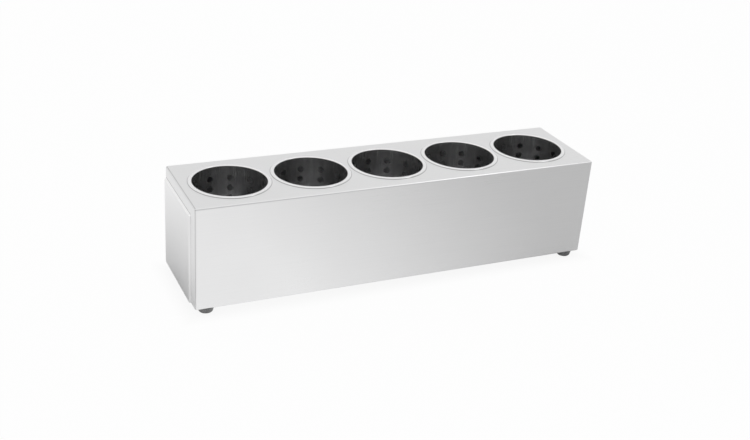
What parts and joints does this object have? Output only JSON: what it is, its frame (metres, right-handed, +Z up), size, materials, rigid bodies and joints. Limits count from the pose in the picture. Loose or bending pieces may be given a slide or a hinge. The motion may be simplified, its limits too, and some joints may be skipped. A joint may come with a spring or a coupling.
{
  "type": "cutlery holder",
  "caption": "Long brushed-steel box on small rubber feet, whose top holds a row of lift-out perforated cutlery cylinders.",
  "frame": {"origin": "middle of the footprint, on the surface that the feet stand on", "axes": "+X along the row of cylinders, to the right seen from the front; +Y from the front panel to the back; +Z up"},
  "size_m": [0.5744, 0.1402, 0.1502],
  "materials": {
    "housing_steel": "brushed along its length",
    "cylinder_steel": "drawn and lightly polished",
    "foot_rubber": "matt",
    "fastener_steel": "plain stainless"
  },
  "bodies": {
    "housing": {"top_front_cover": "housing_steel", "rear_shell": "housing_steel", "foot_front_left": "foot_rubber", "foot_front_right": "foot_rubber", "foot_rear_left": "foot_rubber", "foot_rear_right": "foot_rubber", "foot_screws": "fastener_steel", "foot_washers": "fastener_steel", "foot_nuts": "fastener_steel"},
    "cutlery_cylinder_1": {"cutlery_cylinder_1": "cylinder_steel"},
    "cutlery_cylinder_2": {"cutlery_cylinder_2": "cylinder_steel"},
    "cutlery_cylinder_3": {"cutlery_cylinder_3": "cylinder_steel"},
    "cutlery_cylinder_4": {"cutlery_cylinder_4": "cylinder_steel"},
    "cutlery_cylinder_5": {"cutlery_cylinder_5": "cylinder_steel"}
  },
  "joints": [
    {"name": "cutlery_cylinder_1_lift", "type": "slide", "parent": "housing", "child": "cutlery_cylinder_1", "axis": [0, 0, 1], "range_m": [0, 0.145]},
    {"name": "cutlery_cylinder_2_lift", "type": "slide", "parent": "housing", "child": "cutlery_cylinder_2", "axis": [0, 0, 1], "range_m": [0, 0.145]},
    {"name": "cutlery_cylinder_3_lift", "type": "slide", "parent": "housing", "child": "cutlery_cylinder_3", "axis": [0, 0, 1], "range_m": [0, 0.145]},
    {"name": "cutlery_cylinder_4_lift", "type": "slide", "parent": "housing", "child": "cutlery_cylinder_4", "axis": [0, 0, 1], "range_m": [0, 0.145]},
    {"name": "cutlery_cylinder_5_lift", "type": "slide", "parent": "housing", "child": "cutlery_cylinder_5", "axis": [0, 0, 1], "range_m": [0, 0.145]}
  ]
}
